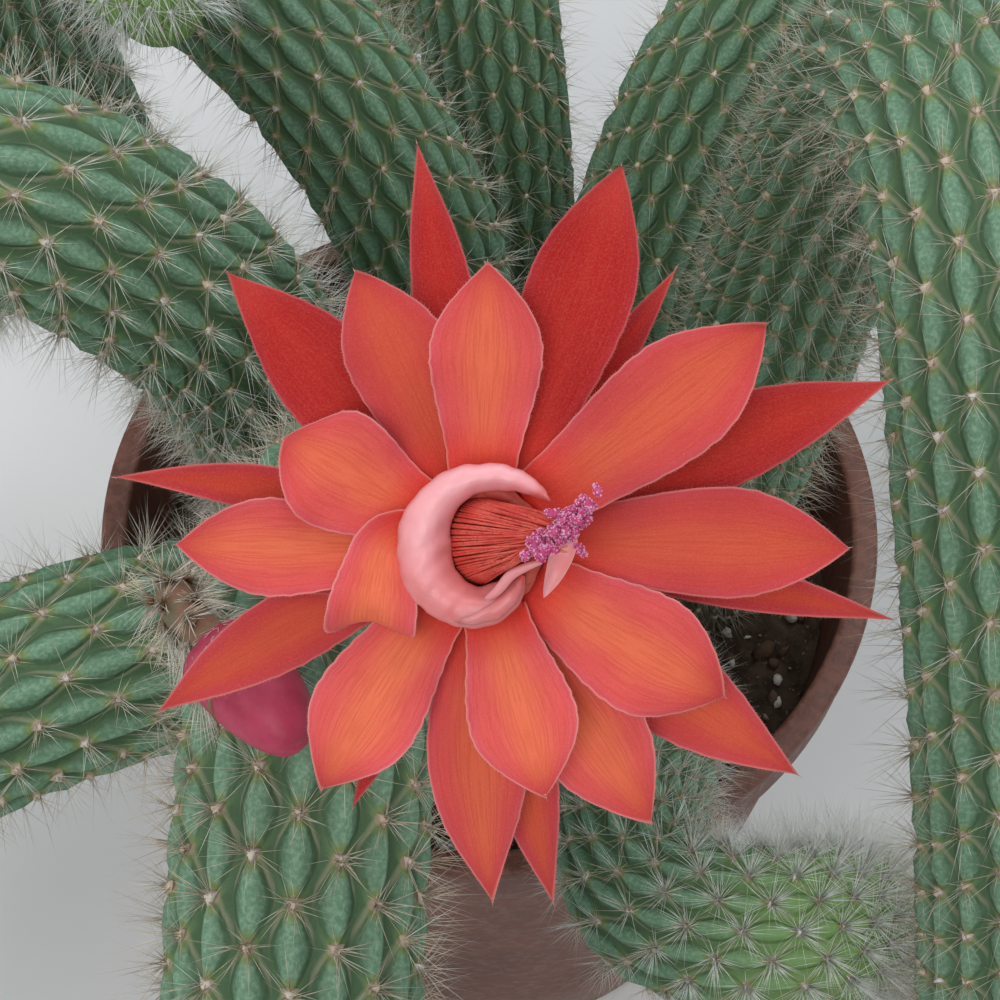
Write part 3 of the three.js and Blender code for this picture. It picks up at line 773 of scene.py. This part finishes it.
def fringe_of(world, top, body, t):
    """Short pale hairs that stand out of one tepal's margin, and its tiny white point."""
    roots, aims = [], []
    for column, sign in ((0, 1), (-1, -1)):
        line = top[:, column] - np.stack([0 * t, 0 * t, body[:, column] / 2], -1)
        steps = np.concatenate([[0], np.cumsum(np.linalg.norm(np.diff(line, axis=0), axis=1))])
        stops = np.arange(steps[-1] * 0.25, steps[-1], 0.25)
        stops = stops + CHANCE.uniform(-0.08, 0.08, len(stops))
        spot = np.stack([np.interp(stops, steps, line[:, i]) for i in range(3)], -1)
        ahead = np.stack([np.interp(stops + 0.3, steps, line[:, i]) for i in range(3)], -1)
        forward = unit(ahead - spot + [1e-6, 0, 0])
        outward = np.stack([-forward[:, 1] * sign, forward[:, 0] * sign, 0 * stops], -1)
        lean = CHANCE.uniform(0.1, 0.7, len(stops))[:, None]
        lift = CHANCE.uniform(-0.25, 0.45, len(stops))[:, None] * np.array([[0, 0, 1.0]])
        roots.append(spot)
        aims.append(unit(outward + forward * lean + lift))
    roots, aims = np.concatenate(roots), np.concatenate(aims)
    size = CHANCE.uniform(0.10, 0.25, len(roots))
    thick = np.full(len(roots), 0.014)
    tip_root = top[-1].mean(0)[None] - [[0.25, 0, 0.05]]
    roots = np.concatenate([roots, tip_root])
    aims = np.concatenate([aims, unit(np.array([[1.0, 0.1, -0.35]]))])
    size, thick = np.append(size, 0.75), np.append(thick, 0.07)
    turn = np.array(world.to_3x3().normalized())
    tone = np.clip(CHANCE.normal(0.86, 0.07, len(roots)), 0, 1)
    return spikes(moved(roots, world), aims @ turn.T, size * MM, thick * MM, 0.0, tone, 0)


def build_tepals():
    fringes = [fringe_of(*build_tepal(i + 1, *row)) for i, row in enumerate(TEPALS)]
    points, triangles, _ = joined(fringes)
    make_piece("tepal_fringe", points, triangles, LOOKS["fringe"])


def in_flower(name, points, faces, look, replaces=(), values=None):
    """A piece whose points are given in the flower's own frame."""
    make_piece(name, moved(points, FLOWER_TO_WORLD), faces, LOOKS[look], replaces, values)


# The collar's roll, round the throat: degrees, middle radius, half width, half height.
COLLAR_ROLL = [
    (33, 6.75, 0.10, 0.12), (40, 6.5, 0.42, 0.4), (52, 6.15, 0.85, 0.85), (70, 5.75, 1.08, 1.1),
    (92, 5.30, 1.18, 1.2), (120, 4.85, 1.55, 1.25), (150, 4.40, 1.95, 1.25), (180, 4.15, 2.15, 1.2),
    (210, 4.35, 2.1, 1.2), (240, 4.55, 1.9, 1.15), (265, 4.70, 1.65, 1.1), (285, 4.60, 1.55, 1.05),
    (302, 4.40, 1.25, 0.9), (316, 4.15, 0.95, 0.7), (328, 3.95, 0.2, 0.2)]
# The flap that wraps over the roll's end, drawn the same way, a little in front.
COLLAR_WRAP = [
    (252, 5.95, 0.10, 0.12), (260, 5.65, 0.45, 0.5), (274, 5.15, 0.80, 0.8), (290, 4.80, 0.90, 0.9),
    (306, 4.45, 0.72, 0.8), (318, 4.25, 0.45, 0.5), (328, 4.10, 0.10, 0.12)]


def roll_skin(table, rise, ripple):
    """A soft roll that follows a table of angle, radius, half width and half height."""
    angle, radius, wide, high = np.array(table, float).T
    fine = np.linspace(angle[0], angle[-1], 90)
    radius, wide, high = (
        np.convolve(np.pad(np.interp(fine, angle, column), 3, mode="edge"), np.ones(7) / 7, "valid")
        for column in (radius, wide, high))
    theta = np.radians(fine)
    around = np.arange(28) / 28 * TURN
    soft = np.sin(theta * 7 + 1)[:, None] * np.cos(around - 1)[None]
    crease = np.abs(np.sin(theta * 5.5 + 0.4))[:, None] ** 0.35 * (0.5 + 0.5 * np.sin(around))[None]
    lump = 1 + ripple * (soft + crease)
    out = radius[:, None] + wide[:, None] * np.cos(around)[None] * lump
    up = rise + high[:, None] * np.sin(around)[None] * lump
    # The inner side hangs down into the throat.
    up = up - 1.2 * smooth(-np.cos(around) * 1.2 - 0.1)[None] * (wide / 2)[:, None]
    x, y = out * np.cos(theta)[:, None], out * np.sin(theta)[:, None]
    knobbly = np.sin(2.3 * x + 1.1) * np.sin(2.6 * y + 0.4) + 0.6 * np.sin(4.1 * x - 3.3 * y + up)
    out = out + 0.055 * knobbly * np.cos(around)
    up = up + 0.06 * knobbly * np.sin(around) * smooth(high)[:, None]
    grid = np.stack([out * np.cos(theta)[:, None], out * np.sin(theta)[:, None], up], -1)
    # crest is highest on the roll's upward face and towards the top of the ring, and lowest underneath and at
    # the thin ends. It places the collar's painted highlight and painted shadow.
    crest = np.clip(0.5 + 0.5 * np.sin(around), 0, 1)[None] * np.ones_like(up)
    crest = crest * smooth(wide / 0.8)[:, None] * (0.78 + 0.22 * np.sin(theta))[:, None]
    vertices, faces = skin(grid[:, ::-1])
    values = np.concatenate([crest[:, ::-1].ravel(), [0.6, 0.6]])
    return vertices, faces, {"crest": values}


def build_collar():
    parts = [roll_skin(COLLAR_ROLL, 1.1, 0.035), roll_skin(COLLAR_WRAP, 1.7, 0.035), build_flap()]
    lip = Path([(0.3, -4.3, 1.3), (1.5, -3.4, 2.3), (2.6, -2.1, 3.0), (4.2, -1.3, 3.7), (5.0, -1.1, 3.8)])
    stops = np.linspace(0, lip.length, 30)
    thick = 0.42 * np.sqrt(np.sin(math.pi * np.linspace(0.03, 0.97, 30)))
    fold, faces = skin(ring_grid(lip, stops, thick, 14))
    parts.append((fold, faces, {"crest": np.full(len(fold), 0.7)}))
    points, triangles, values = joined(parts)
    in_flower("collar_roll", points, triangles, "collar", ["collar"], values)


def build_flap():
    """The small pointed flap of the collar that stands free below the anthers."""
    rows, columns = 22, 11
    t = np.linspace(0, 0.999, rows)
    point = np.cos(math.pi / 2 * np.clip((t - 0.35) / 0.65, 0, 1)) ** 0.8
    half = point * (0.55 + 0.45 * smooth(t / 0.35))
    line = Path([(6.9, 1.4, 0.3), (6.7, 0.2, 2.4), (6.1, -1.6, 3.2), (5.1, -3.9, 2.9)])
    place, along, _, _ = line.at(t * line.length)
    across = unit(np.cross(along, np.array([0, 0, 1.0])))
    lift = np.cross(across, along)
    k = np.cos(np.linspace(0, math.pi, columns))
    top = (place[:, None] + across[:, None] * (half[:, None] * k)[..., None]
           + lift[:, None] * (0.35 * half[:, None] * k**2)[..., None])
    body = (0.05 + 0.3 * (1 - k**4))[None] * (1 - t[:, None] ** 3)
    under = (top - lift[:, None] * body[..., None])[:, ::-1]
    vertices, faces = skin(np.concatenate([top, under], 1))
    if np.sum(np.cross(vertices[faces[:, 1]] - vertices[faces[:, 0]],
                       vertices[faces[:, 2]] - vertices[faces[:, 0]]) * vertices[faces[:, 0]]) < 0:
        faces = faces[:, ::-1]
    return vertices, faces, {"crest": np.full(len(vertices), 0.62)}


# The line that the anthers sit along, from the lower left to the upper right of the cluster.
ANTHER_FROM, ANTHER_TO = np.array([4.4, -0.1, 6.9]), np.array([8.4, 3.1, 8.6])


def build_filaments():
    """Red filaments that fan out of the throat's left side and gather at the anthers."""
    parts = []
    layers = ((46, 0.135, 0.0), (44, 0.14, -0.6), (40, 0.17, -1.3), (34, 0.25, -2.1))
    for count, thick, sink in layers:
        for i in range(count):
            share = (i + CHANCE.uniform(-0.3, 0.3)) / (count - 1)
            angle = math.radians(66 + 202 * share)
            root = np.array([3.0 * math.cos(angle) + 0.1, 3.5 * math.sin(angle) + 0.4, -2.4 + sink])
            lip = np.array([2.5 * math.cos(angle) + 0.9, 3.1 * math.sin(angle) + 0.5, 0.6 + sink])
            end = ANTHER_FROM + (ANTHER_TO - ANTHER_FROM) * (0.05 + 0.62 * (1 - share) ** 1.1)
            end = end + CHANCE.normal(0, 0.22, 3) + [-0.3, -0.1, sink * 0.45 - 0.7]
            middle = lip * 0.42 + end * 0.58 + [0.0, 0.30 * (0.5 - share), 0.35 + CHANCE.normal(0, 0.12)]
            path = Path([root, lip, middle, end], 12)
            stops = np.linspace(0, path.length, 13)
            taper = thick * (1 - 0.45 * stops / path.length)
            parts.append((*skin(ring_grid(path, stops, taper, 5)), {}))
    points, triangles, _ = joined(parts)
    in_flower("filament_threads", points, triangles, "filament", ["filaments"])


def ball(sides=8, rows=6):
    """A closed unit ball."""
    tilt = np.linspace(0, math.pi, rows + 2)[1:-1]
    angle = np.arange(sides) / sides * TURN
    grid = np.stack([np.sin(tilt)[:, None] * np.cos(angle), np.sin(tilt)[:, None] * np.sin(angle),
                     -np.cos(tilt)[:, None] * np.ones(sides)], -1)
    points, faces = skin(grid)
    points[-2], points[-1] = (0, 0, -1), (0, 0, 1)
    return points, faces


def turned(count):
    """Random turns, as matrices."""
    q = unit(CHANCE.normal(size=(count, 4)))
    w, x, y, z = q.T
    return np.stack([
        np.stack([1 - 2 * (y * y + z * z), 2 * (x * y - z * w), 2 * (x * z + y * w)], -1),
        np.stack([2 * (x * y + z * w), 1 - 2 * (x * x + z * z), 2 * (y * z - x * w)], -1),
        np.stack([2 * (x * z - y * w), 2 * (y * z + x * w), 1 - 2 * (x * x + y * y)], -1)], 1)


def scattered(shape, places, sizes, turns, tone):
    """Copies of a closed shape, each turned and sized, in one mesh."""
    points, faces = shape
    count = len(places)
    sizes = sizes.reshape(count, 1, -1)
    copies = np.einsum("nij,npj->npi", turns, points[None] * sizes) + places[:, None]
    triangles = (faces[None] + (np.arange(count) * len(points))[:, None, None]).reshape(-1, 3)
    return copies.reshape(-1, 3), triangles, {"tone": np.repeat(tone, len(points))}


def build_anthers():
    """A loose cluster of bean-shaped anthers crusted with pollen, and one stray anther."""
    count = 74
    share = CHANCE.uniform(0, 1, count)
    spread = CHANCE.normal(0, 0.52, (count, 3)) * [1.0, 0.9, 0.8]
    places = ANTHER_FROM + (ANTHER_TO - ANTHER_FROM) * share[:, None] + spread
    places = np.concatenate([places, [[7.7, 0.15, 6.9], [7.95, -0.35, 6.7]]])
    sizes = CHANCE.uniform(0.8, 1.15, len(places))[:, None] * [0.33, 0.33, 0.60]
    turns = turned(len(places))
    points, triangles, values = scattered(ball(9, 6), places, sizes, turns, CHANCE.uniform(0, 1, len(places)))
    in_flower("anther_lobes", points, triangles, "anther", ["anthers"], values)
    grains = 2800
    pick = CHANCE.integers(0, len(places), grains)
    spot = unit(CHANCE.normal(size=(grains, 3)))
    spot = np.einsum("nij,nj->ni", turns[pick], spot * sizes[pick] * 1.02) + places[pick]
    grain = CHANCE.uniform(0.055, 0.115, grains)
    points, triangles, values = scattered(
        ball(4, 1), spot, grain, turned(grains), CHANCE.uniform(0, 1, grains))
    in_flower("pollen", points, triangles, "pollen", (), values)


def build_style():
    """The style beside the filaments, with its small lobed stigma."""
    path = Path([(0.1, -2.0, -7.5), (0.6, -1.6, -1.5), (1.6, -1.1, 1.2), (3.8, -0.5, 3.6), (6.0, 0.1, 5.2)])
    stops = np.linspace(0, path.length, 40)
    parts = [(*skin(ring_grid(path, stops, np.full(40, 0.3), 10)), {})]
    place, along, side, up = path.at(np.array([path.length]))
    for i in range(6):
        a = i / 6 * TURN
        aim = unit(along[0] * 0.8 + side[0] * math.cos(a) + up[0] * math.sin(a))
        lobe = Path([place[0], place[0] + aim * 0.5, place[0] + aim * 0.8 + along[0] * 0.35], 6)
        stops = np.linspace(0, lobe.length, 7)
        thick = 0.15 * np.sqrt(1 - (stops / lobe.length) ** 2 * 0.95)
        parts.append((*skin(ring_grid(lobe, stops, thick, 7)), {}))
    points, triangles, _ = joined(parts)
    in_flower("style_stigma", points, triangles, "style", ["style"])


# ---- Flower tube and bud, with their scales and hairs ----
def scale_leaf(root, normal, forward, length, width):
    """A small pointed scale that lies along the tube and lifts at its tip."""
    rows, columns = 9, 7
    t = np.linspace(0, 0.995, rows)
    half = width / 2 * np.cos(math.pi / 2 * t) ** 0.7 * (0.75 + 0.5 * t)
    k = np.linspace(1, -1, columns)
    across = np.cross(normal, forward)
    rise = 0.10 + 0.34 * length * t**2.2
    top = (root + forward * (length * t)[:, None, None] + across * (half[:, None] * k)[..., None]
           + normal * (rise[:, None] + 0.18 * half[:, None] * (1 - k**2))[..., None])
    thick = (0.06 + 0.16 * (1 - k**2))[None] * (1 - 0.8 * t[:, None])
    under = (top - normal * (thick + 0.10 * (1 - t[:, None]))[..., None])[:, ::-1]
    vertices, faces = skin(np.concatenate([top, under], 1))
    return vertices, faces, {}


def scales_and_hairs(path, radius_at, first, last, count, sizes, hairs):
    """Scales in a spiral round a path, each with a tuft of hair under it."""
    leaves, roots, aims = [], [], []
    for i in range(count):
        share = i / (count - 1)
        distance = path.length * (first + (last - first) * share)
        place, along, side, up = (a[0] for a in path.at(np.array([distance])))
        angle = i * math.radians(137.5)
        normal = side * math.cos(angle) + up * math.sin(angle)
        root = place + normal * radius_at(distance)
        size = sizes[0] + (sizes[1] - sizes[0]) * share
        leaves.append(scale_leaf(root, normal, along, size, size * 0.42))
        turn = CHANCE.uniform(-1.2, 1.2, (hairs, 1))
        lift = CHANCE.uniform(0.25, 0.9, (hairs, 1))
        roots.append(np.repeat(root[None], hairs, 0) + CHANCE.normal(0, 0.25, (hairs, 3)))
        aims.append(unit(along + normal * lift + np.cross(normal, along) * turn))
    return joined(leaves), np.concatenate(roots), np.concatenate(aims)


def build_hairs(name, roots, aims, low, high):
    """Hairs of low to high millimetres, from roots and directions in the flower's frame."""
    size = CHANCE.uniform(low, high, len(roots))
    tone = np.clip(CHANCE.normal(0.62, 0.2, len(roots)), 0, 1)
    turn = np.array(FLOWER_TO_WORLD.to_3x3().normalized())
    points, triangles, values = spikes(
        moved(roots, FLOWER_TO_WORLD), aims @ turn.T, size * MM, np.full(len(roots), 0.05 * MM), 0.08, tone)
    make_piece(name, points, triangles, LOOKS["spine"], (), values)


def build_tube():
    """The floral tube, with an open throat at its top and scales and hairs outside."""
    foot = to_flower([(-14.5, -86, 253.8), (-13.8, -86.6, 262)])
    path = Path([to_flower([(-14.4, -86, 251)])[0], *foot, (-7, 1.5, -24), (0, 0, -10), (0, 0, 0)])

    def radius_at(distance):
        share = distance / path.length
        return 4.3 - 0.6 * smooth(share / 0.3) + 1.5 * smooth((share - 0.45) / 0.5)

    stops = np.linspace(0, path.length, 70)
    sides = 40
    ridges = 1 + 0.025 * np.cos(np.arange(sides) / sides * TURN * 10)
    outside = ring_grid(path, stops, radius_at(stops)[:, None] * ridges[None], sides)
    lip = ring_grid(path, np.array([path.length - 0.01]), [4.4], sides)
    down = path.length - np.linspace(0.4, 9, 12)
    inside = ring_grid(path, down, 3.9 - 0.8 * np.linspace(0, 1, 12), sides)
    points, triangles = skin(np.concatenate([outside, lip, inside]))
    in_flower("flower_tube_wall", points, triangles, "tube", ["flower_tube"])
    leaves, roots, aims = scales_and_hairs(path, radius_at, 0.08, 0.72, 30, (2.6, 5.4), 16)
    in_flower("flower_tube_scales", leaves[0], leaves[1], "tube")
    build_hairs("flower_tube_hairs", roots, aims, 2.6, 5.4)


def build_bud():
    """A closed bud: a scaly hairy tube that swells to a round head of overlapping tepals."""
    path = Path([
        (-29.5, -5.3, -46.2), (-29.0, -6.0, -39.0), (-24.0, -10.2, -31.0), (-18.5, -15.2, -25.5),
        (-16.3, -18.2, -22.8)])

    def radius_at(distance):
        return 1.9 + 2.6 * smooth((distance / path.length - 0.42) / 0.36)

    stops = path.length * np.linspace(0, 0.74, 26)
    tube = ring_grid(path, stops, radius_at(stops), 30)
    points, triangles = skin(tube)
    in_flower("bud_tube_wall", points, triangles, "bud_tube", ["bud"])
    start = path.length * 0.60
    share = np.sin(np.linspace(0, math.pi / 2, 26))
    stops = start + (path.length - start) * share * 0.999
    sides = 48
    swell = radius_at(path.length) * np.sqrt(1 - share**2) ** 0.9 * (0.94 + 0.12 * share)
    folds = np.abs(np.sin(np.arange(sides) / sides * TURN * 2.5 + share[:, None] * 2.2)) ** 0.4 * 0.07
    head = ring_grid(path, stops, swell[:, None] * (0.97 + folds), sides)
    points, triangles = skin(head)
    in_flower("bud_head", points, triangles, "bud")
    leaves, roots, aims = scales_and_hairs(path, radius_at, 0.03, 0.62, 22, (1.8, 3.2), 40)
    in_flower("bud_scales", leaves[0], leaves[1], "bud_tube")
    build_hairs("bud_hairs", roots, aims, 3.5, 7.5)


build_tepals()
build_collar()
build_filaments()
build_anthers()
build_style()
build_tube()
build_bud()


# ---- Pot and potting mix ----
def wall_radius(z):
    """Outer radius of the pot's tapering wall at a height, without the collar."""
    return POT_BASE + (POT_RIM - COLLAR_STEP - POT_BASE) * z / POT_HEIGHT


def lathe(outline, sides):
    """Turns an outline of (radius, height) round Z; it starts and ends on the axis."""
    outline = np.array(outline, float)
    angle = np.arange(sides) / sides * TURN
    r, z = outline[1:-1].T
    grid = np.stack([r[:, None] * np.cos(angle), r[:, None] * np.sin(angle), z[:, None] * np.ones(sides)], -1)
    points, triangles = skin(grid)
    points[-2], points[-1] = (0, 0, outline[0][1]), (0, 0, outline[-1][1])
    return points, triangles


def rounded(corners, radius, steps=4):
    """An outline with its corners rounded; the first and last points stay."""
    p = np.array(corners, float)
    out = [p[0]]
    for a, b, c in zip(p[:-2], p[1:-1], p[2:]):
        r = min(radius, 0.45 * np.linalg.norm(a - b), 0.45 * np.linalg.norm(c - b))
        start, end = b + unit(a - b) * r, b + unit(c - b) * r
        for u in np.linspace(0, 1, steps + 1):
            out.append((1 - u) ** 2 * start + 2 * u * (1 - u) * b + u * u * end)
    return [*out, p[-1]]


def build_pot():
    foot = POT_HEIGHT - COLLAR_HEIGHT
    top = wall_radius(POT_HEIGHT)
    corners = [
        (0, 0), (wall_radius(0), 0), (wall_radius(5), 5), (wall_radius(5) + 0.5, 5.8),
        (wall_radius(foot - 6), foot - 6), (wall_radius(foot), foot),
        (wall_radius(foot) + COLLAR_STEP + 0.6, foot + 0.8), (POT_RIM - 0.5, POT_HEIGHT - 2.6),
        (POT_RIM, POT_HEIGHT - 1.8), (POT_RIM, POT_HEIGHT), (top - POT_WALL, POT_HEIGHT),
        (wall_radius(foot) - POT_WALL + 0.5, foot + 3), (wall_radius(foot) - POT_WALL, foot),
        (wall_radius(POT_FLOOR) - POT_WALL, POT_FLOOR), (0, POT_FLOOR)]
    points, triangles = lathe(rounded(corners, 0.9, 3), 120)
    pot = make_piece("pot_shell", points * MM, triangles, LOOKS["pot"], ["pot"])
    for i in range(DRAIN_HOLES):
        a = i / DRAIN_HOLES * TURN
        bpy.ops.mesh.primitive_cylinder_add(
            vertices=32, radius=DRAIN_RADIUS * MM, depth=4 * POT_FLOOR * MM,
            location=(DRAIN_CIRCLE * math.cos(a) * MM, DRAIN_CIRCLE * math.sin(a) * MM, 0))
        cutter = bpy.context.object
        cut = pot.modifiers.new("drain", "BOOLEAN")
        cut.object, cut.operation, cut.solver = cutter, "DIFFERENCE", "EXACT"
        bpy.context.view_layer.objects.active = pot
        bpy.ops.object.modifier_apply(modifier=cut.name)
        bpy.data.objects.remove(cutter)
    for polygon in pot.data.polygons:
        polygon.use_smooth = True
    pot.data.set_sharp_from_angle(angle=math.radians(40))


def ground(x, y):
    """Height of the potting mix: a low crown, hollows and lumps."""
    r = np.hypot(x, y)
    crown = SOIL_TOP + SOIL_CROWN * (1 - smooth(r / 58)) - 0.8
    lumps = 0.8 * np.sin(x / 7 + 1.3) * np.sin(y / 8.5) + 0.5 * np.sin(x / 3.1 + y / 4.3)
    return crown + lumps + 0.25 * np.sin(x * 1.7) * np.sin(y * 1.9)


def build_soil():
    rings, sides = 44, 110
    top = wall_radius(SOIL_TOP) - POT_WALL - 0.25
    bottom = POT_FLOOR + 0.35
    angle = np.arange(sides) / sides * TURN
    radii = np.linspace(top, 0.6, rings)
    x, y = radii[:, None] * np.cos(angle), radii[:, None] * np.sin(angle)
    surface = np.stack([x, y, ground(x, y) + CHANCE.normal(0, 0.35, x.shape)], -1)
    low = wall_radius(bottom) - POT_WALL - 0.35
    walls = [np.stack([r * np.cos(angle), r * np.sin(angle), np.full(sides, z)], -1)
             for r, z in ((low * 0.5, bottom), (low, bottom), (top, SOIL_TOP - 3))]
    points, triangles = skin(np.concatenate([np.stack(walls), surface]))
    make_piece("potting_mix_bed", points * MM, triangles, LOOKS["soil"], ["potting_mix"])
    count = 620
    r = (top - 1.5) * np.sqrt(CHANCE.uniform(0, 1, count))
    a = CHANCE.uniform(0, TURN, count)
    x, y = r * np.cos(a), r * np.sin(a)
    size = CHANCE.gamma(3.0, 0.42, count).clip(0.5, 3.6)
    sizes = size[:, None] * CHANCE.uniform(0.55, 1.15, (count, 3)) * [1, 0.8, 0.55]
    places = np.stack([x, y, ground(x, y) + 0.25 * size], -1)
    stone, faces = ball(6, 3)
    stone = stone * (1 + 0.16 * np.sin(np.arange(len(stone)) * 2.4))[:, None]
    points, triangles, values = scattered(
        (stone, faces), places, sizes, turned(count), CHANCE.uniform(0, 1, count))
    make_piece("potting_mix_grit", points * MM, triangles, LOOKS["grit"], (), values)


build_pot()
build_soil()


# ---- Floor, light and camera ----
def build_stage():
    bpy.ops.mesh.primitive_plane_add(size=12)
    floor = bpy.context.object
    floor.name = "studio_floor"
    floor.data.materials.append(plain_look("studio_floor", (0.74, 0.74, 0.73), (0.78, 0.78, 0.77), 400, 0.9))
    world = bpy.data.worlds.new("studio")
    bpy.context.scene.world = world
    world.use_nodes = True
    world.node_tree.nodes["Background"].inputs["Color"].default_value = (0.80, 0.87, 0.95, 1)
    world.node_tree.nodes["Background"].inputs["Strength"].default_value = 0.33


# Each soft light: name, place in metres, watts, width in metres, colour.
LIGHTS = [
    ("key", (-0.3, -0.9, 1.3), 10.5, 0.9, (1.0, 0.98, 0.96)),
    ("top", (0.3, 0.6, 1.4), 10, 1.2, (0.96, 0.98, 1.0)),
    ("left", (-1.3, 0.1, 0.9), 4.5, 1.0, (1.0, 1.0, 1.0)),
    ("side", (1.3, -0.3, 0.8), 2.2, 1.0, (1.0, 1.0, 1.0)),
]
LIGHTS_AIM = (0, -0.06, 0.2)


def add_light(name, place, power, size, colour):
    data = bpy.data.lights.new(name, "AREA")
    data.energy, data.size, data.color = power, size, colour
    light = bpy.data.objects.new(name, data)
    light.location = place
    aim = Vector(LIGHTS_AIM) - Vector(place)
    light.rotation_euler = aim.to_track_quat("-Z", "Y").to_euler()
    bpy.context.scene.collection.objects.link(light)


# The camera in the flower's frame: distance, right, up; and the width that its picture spans there.
CAMERA_PLACE, PICTURE_SPAN = (190, 1.73, 3.69), 78.55


def build_camera():
    """The photograph's view: steeply down on the flower's face from close by."""
    distance, centre_x, centre_y = CAMERA_PLACE
    data = bpy.data.cameras.new("camera")
    data.sensor_width = 36
    data.lens = data.sensor_width * distance / PICTURE_SPAN
    data.clip_start, data.clip_end = 0.01, 50
    camera = bpy.data.objects.new("camera", data)
    bpy.context.scene.collection.objects.link(camera)
    camera.location = FLOWER_TO_WORLD @ Vector((centre_x, centre_y, distance))
    camera.rotation_euler = (math.radians(90 - FLOWER_ELEVATION), 0, 0)
    bpy.context.scene.camera = camera


build_stage()
for light_row in LIGHTS:
    add_light(*light_row)
build_camera()
bpy.context.scene.view_settings.view_transform = "Standard"
